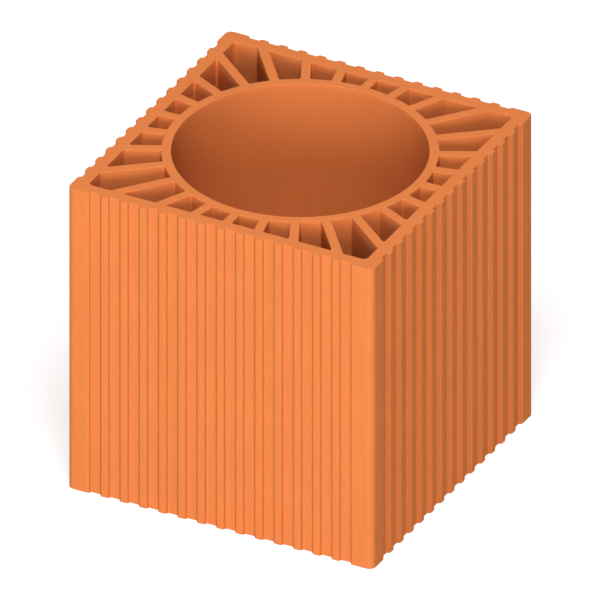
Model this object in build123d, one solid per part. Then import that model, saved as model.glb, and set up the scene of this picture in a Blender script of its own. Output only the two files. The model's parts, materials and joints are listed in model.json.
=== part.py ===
from build123d import *
from math import atan2, hypot, tan
import os

# A hollow clay block, extruded and fired in one piece. A square shell with upright
# ribs is joined to a round inner ring by thin radial webs, which leave open cells.
# Millimetres, +Z up along the bore, origin at the middle of the lower bed face.

HEIGHT = 249.0
BORE_DIAMETER = 184.0

# Clay and gaps met from the bore outwards, along the middle of a side
RING_WALL = 7.0
CELL_DEPTH = 12.8
SHELL_WALL = 8.8
RIB_HEIGHT = 2.4

# Webs: one stands at the middle of each side, and the corners fall between two
WEB_WALL = 7.0
WEBS_IN_QUARTER_TURN = 7
CELL_FILLET = 1.3
CORNER_CELL_FILLET = 4.0

# Ribbed sides: the grooves between the ribs flare outwards, and the corners are plain
GROOVE_FLOOR = 7.9
GROOVE_FLARE = 0.8
GROOVE_SPACING = 15.5
CORNER_LAND = 17.5
RIB_EDGE_FILLET = 1.9
GROOVE_ROOT_FILLET = 1.4
BLOCK_CORNER_FILLET = 5.2

# How much of a groove's flank its two fillets may take up
FILLETED_SHARE = 0.98

# How far each face lies from the middle of the block
BORE_REACH = BORE_DIAMETER / 2
RING_REACH = BORE_REACH + RING_WALL
CELL_REACH = RING_REACH + CELL_DEPTH
GROOVE_REACH = CELL_REACH + SHELL_WALL
RIB_REACH = GROOVE_REACH + RIB_HEIGHT

SIDES = 4
QUARTER_TURN = 90.0


def on_each_side(shape):
    """Copies of a shape, turned to each side of the block."""
    return [Rot(Z=QUARTER_TURN * i) * shape for i in range(SIDES)]


def groove_centres():
    """Places of the grooves along a side, spread evenly between its plain corners."""
    last = RIB_REACH - CORNER_LAND - GROOVE_FLARE - GROOVE_FLOOR / 2
    gaps = max(1, round(2 * last / GROOVE_SPACING))
    return [last * (2 * i / gaps - 1) for i in range(gaps + 1)]


def flank_fillets():
    """Radii of a rib's edge and of a groove's root, limited by the flank that they share."""
    flank = hypot(RIB_HEIGHT, GROOVE_FLARE)
    turn = atan2(RIB_HEIGHT, GROOVE_FLARE)
    taken = (RIB_EDGE_FILLET + GROOVE_ROOT_FILLET) * tan(turn / 2)
    limit = min(1, FILLETED_SHARE * flank / taken)
    return RIB_EDGE_FILLET * limit, GROOVE_ROOT_FILLET * limit


def ribbed_side():
    """The outline's stretch around one corner and along the side that faces -Y."""
    floor = GROOVE_FLOOR / 2
    mouth = floor + GROOVE_FLARE
    half_land = RIB_REACH - CORNER_LAND / 2
    points = [(-RIB_REACH, -half_land), (-RIB_REACH, -RIB_REACH)]
    fillets = [BLOCK_CORNER_FILLET]
    edge, root = flank_fillets()
    for centre in groove_centres():
        points += [
            (centre - mouth, -RIB_REACH),
            (centre - floor, -GROOVE_REACH),
            (centre + floor, -GROOVE_REACH),
            (centre + mouth, -RIB_REACH),
        ]
        fillets += [edge, root, root, edge]
    return FilletPolyline(*points, (half_land, -RIB_REACH), radius=fillets)


def rounded_cell(cell):
    """A cell with its corners rounded, most of all the one in a corner of the shell."""
    shell_corner = Vector(CELL_REACH, CELL_REACH)
    others = [v for v in cell.vertices() if v.center() != shell_corner]
    rounded = cell.fillet_2d(CELL_FILLET, others)
    corner = [v for v in rounded.vertices() if v.center() == shell_corner]
    return rounded.fillet_2d(CORNER_CELL_FILLET, corner) if corner else rounded


def quarter_cells():
    """The open cells between ring, webs and shell, from one side's middle to the next."""
    web = Pos(X=CELL_REACH) * Rectangle(2 * CELL_REACH, WEB_WALL)
    step = QUARTER_TURN / WEBS_IN_QUARTER_TURN
    webs = [Rot(Z=step * i) * web for i in range(WEBS_IN_QUARTER_TURN + 1)]
    corner = Rectangle(CELL_REACH, CELL_REACH, align=(Align.MIN, Align.MIN))
    return [rounded_cell(cell) for cell in (corner - Circle(RING_REACH) - webs).faces()]


def clay_block():
    outline = make_face(on_each_side(ribbed_side())).face()
    holes = [turned for cell in quarter_cells() for turned in on_each_side(cell)]
    holes.append(Circle(BORE_REACH))
    section = outline.make_holes([hole.face().outer_wire() for hole in holes])
    return extrude(section, HEIGHT, dir=(0, 0, 1))


os.makedirs("parts", exist_ok=True)
export_step(clay_block(), "parts/clay_block.step")
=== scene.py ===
import json
import math

import bpy
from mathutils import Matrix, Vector


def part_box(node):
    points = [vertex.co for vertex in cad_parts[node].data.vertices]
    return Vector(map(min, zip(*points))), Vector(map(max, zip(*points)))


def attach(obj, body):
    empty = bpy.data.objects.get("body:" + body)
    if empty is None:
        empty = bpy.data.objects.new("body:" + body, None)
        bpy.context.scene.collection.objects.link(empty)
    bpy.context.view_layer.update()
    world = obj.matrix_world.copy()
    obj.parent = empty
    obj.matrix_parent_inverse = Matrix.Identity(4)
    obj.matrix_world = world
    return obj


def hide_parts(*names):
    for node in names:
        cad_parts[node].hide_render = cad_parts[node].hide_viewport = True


bl_info = {
    "name": "Hollow clay block",
    "version": (1, 0, 0),
    "blender": (4, 5, 0),
    "location": "3D View > Sidebar > Clay block",
    "description": "Builds a ribbed hollow clay block with a round bore and radial cells, and its studio",
    "category": "Add Mesh",
}

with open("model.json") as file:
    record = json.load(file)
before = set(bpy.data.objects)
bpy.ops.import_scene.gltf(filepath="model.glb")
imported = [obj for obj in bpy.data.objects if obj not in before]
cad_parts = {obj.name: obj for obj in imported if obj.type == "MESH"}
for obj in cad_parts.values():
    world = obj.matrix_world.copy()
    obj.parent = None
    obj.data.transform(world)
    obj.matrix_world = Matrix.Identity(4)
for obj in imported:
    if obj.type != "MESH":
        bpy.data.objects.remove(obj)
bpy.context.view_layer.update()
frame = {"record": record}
NODE = "clay_block"
BODY = "root"

LOW, HIGH = (Vector(corner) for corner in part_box(NODE))
MIDDLE = (LOW + HIGH) / 2
BORE = next(mount for mount in frame["record"]["mounts"] if mount["name"] == "bore")
MM = 0.001
QUARTER = math.pi / 2
SIDES = 4


def length(name, description, default):
    """A size in metres."""
    return bpy.props.FloatProperty(name=name, description=description, default=default, unit="LENGTH")


def angle(name, description, degrees):
    """An angle, given in degrees."""
    return bpy.props.FloatProperty(
        name=name, description=description, default=math.radians(degrees), subtype="ANGLE"
    )


def colour(name, description, default):
    """A linear colour."""
    return bpy.props.FloatVectorProperty(
        name=name, description=description, default=default, subtype="COLOR", size=3, min=0.0, max=1.0
    )


def factor(name, description, default):
    """A share between 0 and 1."""
    return bpy.props.FloatProperty(
        name=name, description=description, default=default, subtype="FACTOR", min=0.0, max=1.0
    )


class BlockSettings(bpy.types.PropertyGroup):
    """Sizes of the block and of its section, from the bore outwards."""

    height: length("Height", "From bed face to bed face", HIGH.z - LOW.z)
    reach: length("Reach", "From the middle to the ribs of a side", HIGH.x)
    bore_radius: length("Bore radius", "Of the round through bore", BORE["dims"]["r_mm"] * MM)
    ring_wall: length("Ring wall", "Clay round the bore", 7.0 * MM)
    web_wall: length("Web wall", "Thickness of a radial web", 7.0 * MM)
    shell_wall: length("Shell wall", "Clay between a cell and a groove", 8.8 * MM)
    quarter_cells: bpy.props.IntProperty(
        name="Cells in a quarter", description="From one side's middle to the next", default=7, min=1
    )
    cell_corner: length("Cell corner", "Radius of the cells' corners", 1.3 * MM)
    corner_cell: length("Corner cell", "Radius of a corner cell's outermost corner", 4.0 * MM)
    grooves: bpy.props.IntProperty(name="Grooves", description="On each side", default=14, min=2)
    rib_height: length("Rib height", "Of the upright ribs between the grooves", 2.4 * MM)
    groove_floor: length("Groove floor", "Width of a groove's floor", 7.9 * MM)
    groove_flare: length("Groove flare", "How far each flank of a groove leans outwards", 0.8 * MM)
    groove_root: length("Groove root", "Radius where a flank meets the floor", 1.4 * MM)
    rib_edge: length("Rib edge", "Radius of a rib's edges", 1.9 * MM)
    corner_land: length("Corner land", "Plain width at each corner", 17.5 * MM)
    block_corner: length("Block corner", "Radius of the four upright corners", 5.2 * MM)
    arris: length("Arris", "Softening of the cut edges", 0.3 * MM)


class ClaySettings(bpy.types.PropertyGroup):
    """Colours and surface of the fired clay."""

    pale: colour("Pale clay", "Where the clay fired palest", (0.84, 0.244, 0.069))
    deep: colour("Deep clay", "Where the clay fired deepest", (0.76, 0.22, 0.063))
    # Painted shade: a darker colour laid into the cells and, fainter, into the bore and the grooves, where
    # shade falls
    painted_shade: colour("Recessed clay", "In the cells and, fainter, in bore and grooves", (0.5, 0.138, 0.038))
    relief: length("Relief", "Height of the grain and of the drag lines", 0.05 * MM)
    roughness: factor("Roughness", "Of the dry matte surface", 0.9)
    sheen_level: factor("Specular level", "Strength of its faint sheen", 0.05)


class StageSettings(bpy.types.PropertyGroup):
    """The studio: floor, soft boxes and camera."""

    view_azimuth: angle("View azimuth", "Of the camera, round from the front", 27.83)
    view_elevation: angle("View elevation", "Of the camera, above the horizon", 31.01)
    view_width: length("View width", "Width of the parallel view", 427.1 * MM)
    floor_colour: colour("Floor", "Pale matte floor", (0.5, 0.5, 0.5))
    floor_lift: factor("Floor lift", "Glow that brings the floor to white for the camera alone", 0.62)
    fill: factor("Fill", "Strength of the even light from all round", 0.02)
    box_distance: length("Lamp distance", "From the block to each soft box", 5.0)
    box_width: length("Lamp width", "Of each soft box", 1.75)


# How near to a whole number a node's value counts as that number
INDEX_SLACK = 0.25


class Value:
    """A node's output. Arithmetic on it adds Math nodes."""

    def __init__(self, graph, socket):
        self.graph = graph
        self.socket = socket

    def output(self, name):
        """Another output of the same node."""
        return Value(self.graph, self.socket.node.outputs[name])

    def math(self, operation, *others, swap=False):
        """A Math node on this value and others, which come first where they are swapped."""
        operands = [*others, self] if swap else [self, *others]
        return self.graph.node("ShaderNodeMath", {"operation": operation}, dict(enumerate(operands)))

    def __add__(self, other):
        return self.math("ADD", other)

    def __sub__(self, other):
        return self.math("SUBTRACT", other)

    def __rsub__(self, other):
        return self.math("SUBTRACT", other, swap=True)

    def __mul__(self, other):
        return self.math("MULTIPLY", other)

    def __truediv__(self, other):
        return self.math("DIVIDE", other)

    def __rtruediv__(self, other):
        return self.math("DIVIDE", other, swap=True)

    def __floordiv__(self, other):
        return (self / other).math("FLOOR")

    def __mod__(self, other):
        return self.math("FLOORED_MODULO", other)

    def __neg__(self):
        return self * -1.0

    def __lt__(self, other):
        return self.math("LESS_THAN", other)

    def __gt__(self, other):
        return self.math("GREATER_THAN", other)

    __radd__ = __add__
    __rmul__ = __mul__

    def least(self, other):
        return self.math("MINIMUM", other)

    def most(self, other):
        return self.math("MAXIMUM", other)

    def clamped(self):
        return self.most(0.0).least(1.0)

    def is_index(self, number):
        """1 where a whole-numbered value is this number, or else 0."""
        return self.math("COMPARE", number, INDEX_SLACK)

    def sin(self):
        return self.math("SINE")

    def cos(self):
        return self.math("COSINE")


class Graph:
    """Adds nodes to a tree."""

    def __init__(self, tree):
        self.tree = tree
        tree.nodes.clear()

    def node(self, kind, settings=None, sockets=None, out=0):
        """Adds a node, makes its settings, sets or links its sockets and gives one of its outputs."""
        made = self.tree.nodes.new(kind)
        for name, value in (settings or {}).items():
            setattr(made, name, value)
        for key, given in (sockets or {}).items():
            for value in given if isinstance(given, list) else [given]:
                if isinstance(value, Value):
                    self.tree.links.new(value.socket, made.inputs[key])
                else:
                    made.inputs[key].default_value = value
        return Value(self, made.outputs[out]) if made.outputs else None


def choose(mask, yes, no):
    """One value where the mask is 1 and the other where it is 0."""
    return mask * yes + (1.0 - mask) * no


# The block's mesh: how finely it is divided

FILLET_STEPS = 6
ARRIS_STEPS = 4
RING_STEPS = 6
BORE_STEPS = 240
WALL_STEPS = 8

# Points that draw a groove, a cell's face on the shell, and the arris and rim at an end of a wall
GROOVE_POINTS = 4
SHELL_POINTS = 3
END_POINTS = 2

# The rim round a bed face is this many times as wide as its arris
RIM_TO_ARRIS = 2.0

# Points of the walls and the beds that lie this near are joined
WELD = 0.002 * MM


def turned(x, y, turn):
    """A point turned about the bore's axis."""
    return x * turn.cos() - y * turn.sin(), x * turn.sin() + y * turn.cos()


def polyline(graph, count, x, y, group=0):
    """Straight-sided curves through points worked out from their index."""
    place = graph.node("ShaderNodeCombineXYZ", sockets={0: x, 1: y})
    points = graph.node("GeometryNodePoints", sockets={"Count": count, "Position": place})
    return graph.node("GeometryNodePointsToCurves", sockets={"Points": points, "Curve Group ID": group})


def closed(graph, curve):
    """A curve whose end joins its start."""
    return graph.node("GeometryNodeSetSplineCyclic", sockets={"Geometry": curve, "Cyclic": True})


def rounded(graph, curve, radius, steps):
    """A curve with its corners rounded to the radius that each of its points has."""
    sockets = {"Curve": curve, "Count": steps, "Radius": radius, "Limit Radius": True}
    return graph.node("GeometryNodeFilletCurve", {"mode": "POLY"}, sockets)


def ribbed_outline(graph, size):
    """The outer loop, anticlockwise: each side is a corner and then four points to a groove."""
    index = graph.node("GeometryNodeInputIndex")
    to_side = GROOVE_POINTS * size["grooves"] + 1
    place = index % to_side
    groove = (place - 1) // GROOVE_POINTS
    point = (place - 1) % GROOVE_POINTS
    corner = place.is_index(0)
    on_floor = point.is_index(1) + point.is_index(2)
    right = point.is_index(2) + point.is_index(3)
    mouth = size["groove_floor"] / 2 + size["groove_flare"]
    last = size["reach"] - size["corner_land"] - mouth
    centre = last * (2 * groove / (size["grooves"] - 1) - 1)
    half = mouth - on_floor * size["groove_flare"]
    x = choose(corner, -size["reach"], centre + (2 * right - 1) * half)
    y = on_floor * (1 - corner) * size["rib_height"] - size["reach"]
    x, y = turned(x, y, index // to_side * QUARTER)
    radius = choose(on_floor, size["groove_root"], size["rib_edge"])
    radius = choose(corner, size["block_corner"], radius)
    return rounded(graph, closed(graph, polyline(graph, SIDES * to_side, x, y)), radius, FILLET_STEPS)


def shell_crossing(turn, edge, reach):
    """Where a web's edge line meets the inner face of the shell, in the quarter between +X and +Y."""
    on_x = turn < QUARTER / 2
    along_y = (edge + reach * turn.sin()) / turn.cos()
    along_x = (reach * turn.cos() - edge) / turn.sin()
    return choose(on_x, reach, along_x), choose(on_x, along_y, reach)


def cell_loops(graph, size):
    """The cells' loops, clockwise: along the ring, then by way of the shell and back."""
    to_cell = RING_STEPS + 1 + SHELL_POINTS
    index = graph.node("GeometryNodeInputIndex")
    cell = index // to_cell
    point = index % to_cell
    quarter = cell // size["quarter_cells"]
    in_quarter = cell % size["quarter_cells"]
    step = QUARTER / size["quarter_cells"]
    half_web = size["web_wall"] / 2
    ring = size["bore_radius"] + size["ring_wall"]
    shell = size["reach"] - size["rib_height"] - size["shell_wall"]
    start = in_quarter * step
    lean = (half_web / ring).math("ARCSINE")
    around = start + lean + (step - 2 * lean) * point / RING_STEPS
    before_x, before_y = shell_crossing(start, half_web, shell)
    after_x, after_y = shell_crossing(start + step, -half_web, shell)
    in_corner = in_quarter.is_index((size["quarter_cells"] - 1) / 2)
    middle_x = choose(in_corner, shell, (before_x + after_x) / 2)
    middle_y = choose(in_corner, shell, (before_y + after_y) / 2)
    after, middle, before = (point.is_index(RING_STEPS + 1 + i) for i in range(SHELL_POINTS))
    on_ring = 1.0 - after - middle - before
    x = on_ring * ring * around.cos() + after * after_x + middle * middle_x + before * before_x
    y = on_ring * ring * around.sin() + after * after_y + middle * middle_y + before * before_y
    x, y = turned(x, y, quarter * QUARTER)
    ends = point.is_index(0) + point.is_index(RING_STEPS) + after + before
    radius = ends * size["cell_corner"] + middle * in_corner * size["corner_cell"]
    count = SIDES * size["quarter_cells"] * to_cell
    return rounded(graph, closed(graph, polyline(graph, count, x, y, cell)), radius, FILLET_STEPS)


def bore_loop(graph, size):
    """The bore's loop, clockwise."""
    around = graph.node("GeometryNodeInputIndex") * (-2 * math.pi / BORE_STEPS)
    x = size["bore_radius"] * around.cos()
    y = size["bore_radius"] * around.sin()
    return closed(graph, polyline(graph, BORE_STEPS, x, y))


def wall_profile(graph, size, rim):
    """The line swept along every loop: a wall, with a softened arris and a narrow rim at each end."""
    index = graph.node("GeometryNodeInputIndex")
    last = WALL_STEPS + 2 * END_POINTS
    on_rim = index.is_index(0) + index.is_index(last)
    on_arris = index.is_index(1) + index.is_index(last - 1)
    second_half = index > last / 2
    share = (index - END_POINTS) / WALL_STEPS
    along = rim + (size["height"] - 2 * rim) * share
    along = choose(on_rim + on_arris, second_half * size["height"], along)
    # The sweep turns the line upside down, so it is drawn below zero
    line = polyline(graph, last + 1, -on_rim * rim, along - size["height"])
    return rounded(graph, line, on_arris * size["arris"], ARRIS_STEPS)


def block_tree(settings, clay):
    """Geometry nodes that draw the section's loops, raise their walls and close the two bed faces."""
    tree = bpy.data.node_groups.new("Clay block", "GeometryNodeTree")
    graph = Graph(tree)
    tree.interface.new_socket("Geometry", in_out="OUTPUT", socket_type="NodeSocketGeometry")
    for name in settings.__annotations__:
        default = getattr(settings, name)
        kind = "NodeSocketInt" if isinstance(default, int) else "NodeSocketFloat"
        socket = tree.interface.new_socket(name, in_out="INPUT", socket_type=kind)
        socket.default_value = default
        if kind == "NodeSocketFloat":
            socket.subtype = "DISTANCE"
    sizes = graph.node("NodeGroupInput")
    size = {name: sizes.output(name) for name in settings.__annotations__}
    rim = size["arris"] * RIM_TO_ARRIS
    loops = [ribbed_outline(graph, size), cell_loops(graph, size), bore_loop(graph, size)]
    section = graph.node("GeometryNodeJoinGeometry", sockets={"Geometry": loops})
    section = graph.node("GeometryNodeSetCurveNormal", {"mode": "Z_UP"}, {"Curve": section})
    profile = wall_profile(graph, size, rim)
    walls = graph.node("GeometryNodeCurveToMesh", sockets={"Curve": section, "Profile Curve": profile})
    normal = graph.node("GeometryNodeInputNormal")
    inset = graph.node("ShaderNodeVectorMath", {"operation": "SCALE"}, {0: normal, "Scale": -rim})
    rims = graph.node("GeometryNodeSetPosition", sockets={"Geometry": section, "Offset": inset})
    bed = graph.node("GeometryNodeFillCurve", {"mode": "TRIANGLES"}, {"Curve": rims})
    lift = graph.node("ShaderNodeCombineXYZ", sockets={2: size["height"]})
    upper = graph.node("GeometryNodeTransform", sockets={"Geometry": bed, "Translation": lift})
    lower = graph.node("GeometryNodeFlipFaces", sockets={"Mesh": bed})
    block = graph.node("GeometryNodeJoinGeometry", sockets={"Geometry": [walls, upper, lower]})
    block = graph.node("GeometryNodeMergeByDistance", sockets={"Geometry": block, "Distance": WELD})
    block = graph.node("GeometryNodeSetShadeSmooth", sockets={"Geometry": block, "Shade Smooth": True})
    block = graph.node("GeometryNodeRealizeInstances", sockets={"Geometry": block})
    block = graph.node("GeometryNodeSetMaterial", sockets={"Geometry": block, "Material": clay})
    graph.node("NodeGroupOutput", sockets={"Geometry": block})
    return tree


def made_by_nodes(name, tree, settings):
    """A plain mesh object from a geometry-nodes tree, with its inputs set by identifier."""
    maker = bpy.data.objects.new(name + ".maker", bpy.data.meshes.new(name + ".maker"))
    bpy.context.collection.objects.link(maker)
    nodes = maker.modifiers.new("Nodes", "NODES")
    nodes.node_group = tree
    for item in tree.interface.items_tree:
        if item.in_out == "INPUT":
            nodes[item.identifier] = getattr(settings, item.name)
    graph = bpy.context.evaluated_depsgraph_get()
    mesh = bpy.data.meshes.new_from_object(maker.evaluated_get(graph), depsgraph=graph)
    maker.modifiers.remove(nodes)
    bpy.data.objects.remove(maker)
    mesh.name = name
    piece = bpy.data.objects.new(name, mesh)
    bpy.context.collection.objects.link(piece)
    return piece


# The clay's finish: noise scales are repeats in a metre, and a stretch under 1 draws the pattern out

CLOUD_SCALE = 16.0
CLOUD_DETAIL = 3.0
GRAIN_SCALE = 900.0
LINE_SCALE = 520.0
FINE_DETAIL = 2.0
NOISE_MEAN = 0.5
DRAWN_OUT = 0.02
WIRE_TURN = math.radians(12.0)

# A spot this near to a bed face is on the cut
BED_SKIN = 0.1 * MM

# Tone between deep clay at 0 and pale clay at 1, and how strongly the noises change it
EVEN_TONE = 0.5
CLOUD_TONE = 1.1
GRAIN_TONE = 1.3
GRAIN_ROUGHNESS = 0.15

# Share of painted shade in each place, reached in the cells and the bore this far in from a bed face
CELL_SHARE = 0.95
CELL_FADE = 25.0 * MM
BORE_SHARE = 0.28
BORE_FADE = 5.0 * MM
FLANK_SHARE = 0.7
GROOVE_SHARE = 0.03


def shader_graph(owner):
    """An empty node graph of a material or a world."""
    owner.use_nodes = True
    return Graph(owner.node_tree)


def noise(graph, place, scale, detail, stretch=(1.0, 1.0, 1.0), turn=0.0):
    """Noise about zero."""
    placing = {"Vector": place, "Scale": stretch, "Rotation": (0.0, 0.0, turn)}
    where = graph.node("ShaderNodeMapping", sockets=placing)
    sockets = {"Vector": where, "Scale": scale, "Detail": detail}
    return graph.node("ShaderNodeTexNoise", sockets=sockets) - NOISE_MEAN


def blend(graph, share, first, second):
    """A colour between two others."""
    # A Mix node's sockets for colours come after those for numbers and vectors
    return graph.node("ShaderNodeMix", {"data_type": "RGBA"}, {0: share, 6: first, 7: second}, out=2)


def painted_recess_shade(graph, place, from_bed, cut, size):
    """Share of painted shade at a spot in a groove, most of all on its flanks, in a cell or in the bore."""
    across = graph.node("ShaderNodeVectorMath", {"operation": "ABSOLUTE"}, {0: place})
    across = graph.node("ShaderNodeSeparateXYZ", sockets={0: across})
    x, y = across.output("X"), across.output("Y")
    below_ribs = size.reach - x.most(y)
    sunk = below_ribs / size.rib_height
    inside_shell = below_ribs > size.rib_height + size.shell_wall / 2
    outside_ring = (x * x + y * y) > (size.bore_radius + size.ring_wall / 2) ** 2
    ribbed = (x.least(y) < size.reach - size.corner_land) * (1.0 - cut) * (1.0 - inside_shell)
    # A parabola over the depth of a groove, 0 at rib and floor and 1 half-way, squared to narrow it
    halfway = (4.0 * sunk * (1.0 - sunk)).clamped()
    flank = halfway * halfway
    # Painted shade in the grooves, strongest half-way down the flanks and faint on the floors
    groove = ribbed * (FLANK_SHARE * flank + GROOVE_SHARE * sunk.clamped())
    # Painted shade in the cells and the bore, deepening with distance from the nearer bed face
    cell = outside_ring * inside_shell * (from_bed / CELL_FADE).clamped()
    bore = (1.0 - outside_ring) * (from_bed / BORE_FADE).clamped()
    return groove + CELL_SHARE * cell + BORE_SHARE * bore


def fired_clay(settings, size):
    """Dry orange clay: cloudy firing, fine grain, drag lines up the walls, wire marks across the beds, and
    painted shade in the grooves, cells and bore.
    """
    material = bpy.data.materials.new("Fired clay")
    graph = shader_graph(material)
    place = graph.node("ShaderNodeTexCoord").output("Object")
    up = graph.node("ShaderNodeSeparateXYZ", sockets={0: place}).output("Z")
    from_bed = (up - LOW.z).least(HIGH.z - up)
    cut = from_bed < BED_SKIN
    clouds = noise(graph, place, CLOUD_SCALE, CLOUD_DETAIL)
    grain = noise(graph, place, GRAIN_SCALE, FINE_DETAIL)
    drag = noise(graph, place, LINE_SCALE, FINE_DETAIL, (1.0, 1.0, DRAWN_OUT))
    wire = noise(graph, place, LINE_SCALE, FINE_DETAIL, (DRAWN_OUT, 1.0, 1.0), WIRE_TURN)
    lines = choose(cut, wire, drag)
    tone = (EVEN_TONE + CLOUD_TONE * clouds + GRAIN_TONE * grain + lines).clamped()
    fired = blend(graph, tone, (*settings.deep, 1.0), (*settings.pale, 1.0))
    # Painted shade: the clay turns towards a darker colour in the grooves, the cells and the bore
    painted_shade_share = painted_recess_shade(graph, place, from_bed, cut, size)
    fired = blend(graph, painted_shade_share, fired, (*settings.painted_shade, 1.0))
    relief = {"Height": grain + lines, "Distance": settings.relief, "Strength": 1.0}
    clay = graph.node("ShaderNodeBsdfPrincipled", sockets={
        "Base Color": fired,
        "Roughness": (settings.roughness + GRAIN_ROUGHNESS * grain).least(1.0),
        "Specular IOR Level": settings.sheen_level,
        "Normal": graph.node("ShaderNodeBump", sockets=relief),
    })
    graph.node("ShaderNodeOutputMaterial", sockets={"Surface": clay})
    return material


class CLAYBLOCK_OT_block(bpy.types.Operator):
    """Build the clay block in place of its solid"""

    bl_idname = "clayblock.block"
    bl_label = "Clay block"

    def execute(self, context):
        sizes = context.scene.clay_block
        clay = fired_clay(context.scene.clay_finish, sizes)
        piece = made_by_nodes("fired_clay_block", block_tree(sizes, clay), sizes)
        piece.modifiers.new("Even shading", "WEIGHTED_NORMAL")
        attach(piece, BODY)
        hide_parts(NODE)
        return {"FINISHED"}


# The studio, in metres

WHITE = (1.0, 1.0, 1.0, 1.0)
FLOOR_WIDTH = 12.0
FLOOR_GAP = 0.1 * MM

# The floor fades to plain white between these distances from its middle
FADE_START = 0.45
FADE_END = 0.9

# How far off the camera stands, and its small step aside for the photograph's framing
VIEW_DISTANCE = 1.5
VIEW_NUDGE = Vector((-0.21 * MM, 0.19 * MM, 0.0))

# Azimuth and elevation of each soft box in degrees, and its power in watts
SOFT_BOXES = {
    "high key": (30.0, 60.0, 212.0),
    "low key": (33.0, 12.0, 85.0),
    "left": (-8.0, 12.0, 60.0),
    "back": (215.0, 10.0, 120.0),
}


def direction(azimuth, elevation):
    """Unit vector from the block to a lamp or the camera: azimuth 0 is the front."""
    return Vector((
        math.sin(azimuth) * math.cos(elevation),
        -math.cos(azimuth) * math.cos(elevation),
        math.sin(elevation),
    ))


def soft_box(name, azimuth, elevation, power, settings):
    """A large square lamp that looks at the block."""
    data = bpy.data.lights.new(name, "AREA")
    data.size = settings.box_width
    data.energy = power
    lamp = bpy.data.objects.new(name, data)
    back = direction(math.radians(azimuth), math.radians(elevation))
    lamp.location = MIDDLE + settings.box_distance * back
    lamp.rotation_euler = back.to_track_quat("Z", "Y").to_euler()
    lamp.visible_camera = False
    bpy.context.collection.objects.link(lamp)


def seen_directly(graph):
    """1 for what the camera sees, also in a mirror or through glass, and 0 for the light that is cast."""
    path = graph.node("ShaderNodeLightPath")
    seen = path.output("Is Camera Ray") + path.output("Is Glossy Ray") + path.output("Is Transmission Ray")
    return seen.least(1.0)


def pale_floor(settings):
    """Matte floor that takes the shadow, is lifted to white for the camera and fades to white far off."""
    material = bpy.data.materials.new("Pale floor")
    graph = shader_graph(material)
    place = graph.node("ShaderNodeTexCoord").output("Object")
    away = graph.node("ShaderNodeVectorMath", {"operation": "LENGTH"}, {0: place}).output("Value")
    fade = ((away - FADE_START) / (FADE_END - FADE_START)).clamped()
    glow = seen_directly(graph) * (settings.floor_lift + (1.0 - settings.floor_lift) * fade)
    matte = graph.node("ShaderNodeBsdfDiffuse", sockets={"Color": (*settings.floor_colour, 1.0)})
    light = graph.node("ShaderNodeEmission", sockets={"Strength": glow})
    both = graph.node("ShaderNodeAddShader", sockets={0: matte, 1: light})
    graph.node("ShaderNodeOutputMaterial", sockets={"Surface": both})
    return material


def studio_world(settings):
    """A white surround to look at, which lights the block only as a faint fill."""
    world = bpy.data.worlds.new("Studio")
    graph = shader_graph(world)
    strength = choose(seen_directly(graph), 1.0, settings.fill)
    surround = graph.node("ShaderNodeBackground", sockets={"Color": WHITE, "Strength": strength})
    graph.node("ShaderNodeOutputWorld", sockets={"Surface": surround})
    return world


def view_camera(settings):
    """A camera with a parallel view, aimed at the middle of the block."""
    data = bpy.data.cameras.new("View")
    data.type = "ORTHO"
    data.ortho_scale = settings.view_width
    camera = bpy.data.objects.new("View", data)
    back = direction(settings.view_azimuth, settings.view_elevation)
    facing = back.to_track_quat("Z", "Y")
    camera.rotation_euler = facing.to_euler()
    camera.location = MIDDLE + VIEW_DISTANCE * back + facing @ VIEW_NUDGE
    bpy.context.collection.objects.link(camera)
    return camera


class CLAYBLOCK_OT_stage(bpy.types.Operator):
    """Build the floor, the soft boxes and the camera"""

    bl_idname = "clayblock.stage"
    bl_label = "Studio"

    def execute(self, context):
        settings = context.scene.clay_stage
        bpy.ops.mesh.primitive_plane_add(size=FLOOR_WIDTH, location=(0.0, 0.0, LOW.z - FLOOR_GAP))
        floor = context.object
        floor.name = "studio_floor"
        floor.data.materials.append(pale_floor(settings))
        for name, (azimuth, elevation, power) in SOFT_BOXES.items():
            soft_box(name, azimuth, elevation, power, settings)
        context.scene.world = studio_world(settings)
        context.scene.camera = view_camera(settings)
        context.scene.view_settings.view_transform = "Standard"
        return {"FINISHED"}


class CLAYBLOCK_PT_panel(bpy.types.Panel):
    """Lists the sizes and colours, and the steps that build the block and its studio"""

    bl_label = "Clay block"
    bl_idname = "CLAYBLOCK_PT_panel"
    bl_space_type = "VIEW_3D"
    bl_region_type = "UI"
    bl_category = "Clay block"

    def draw(self, context):
        scene = context.scene
        for group in (scene.clay_block, scene.clay_finish, scene.clay_stage):
            for name in group.__annotations__:
                self.layout.prop(group, name)
        self.layout.operator(CLAYBLOCK_OT_block.bl_idname)
        self.layout.operator(CLAYBLOCK_OT_stage.bl_idname)


CLASSES = (
    BlockSettings, ClaySettings, StageSettings,
    CLAYBLOCK_OT_block, CLAYBLOCK_OT_stage, CLAYBLOCK_PT_panel,
)


def register():
    for made in CLASSES:
        bpy.utils.register_class(made)
    bpy.types.Scene.clay_block = bpy.props.PointerProperty(type=BlockSettings)
    bpy.types.Scene.clay_finish = bpy.props.PointerProperty(type=ClaySettings)
    bpy.types.Scene.clay_stage = bpy.props.PointerProperty(type=StageSettings)


def unregister():
    del bpy.types.Scene.clay_stage
    del bpy.types.Scene.clay_finish
    del bpy.types.Scene.clay_block
    for made in reversed(CLASSES):
        bpy.utils.unregister_class(made)


def main():
    register()
    bpy.ops.clayblock.block()
    bpy.ops.clayblock.stage()


if __name__ == "__main__":
    main()
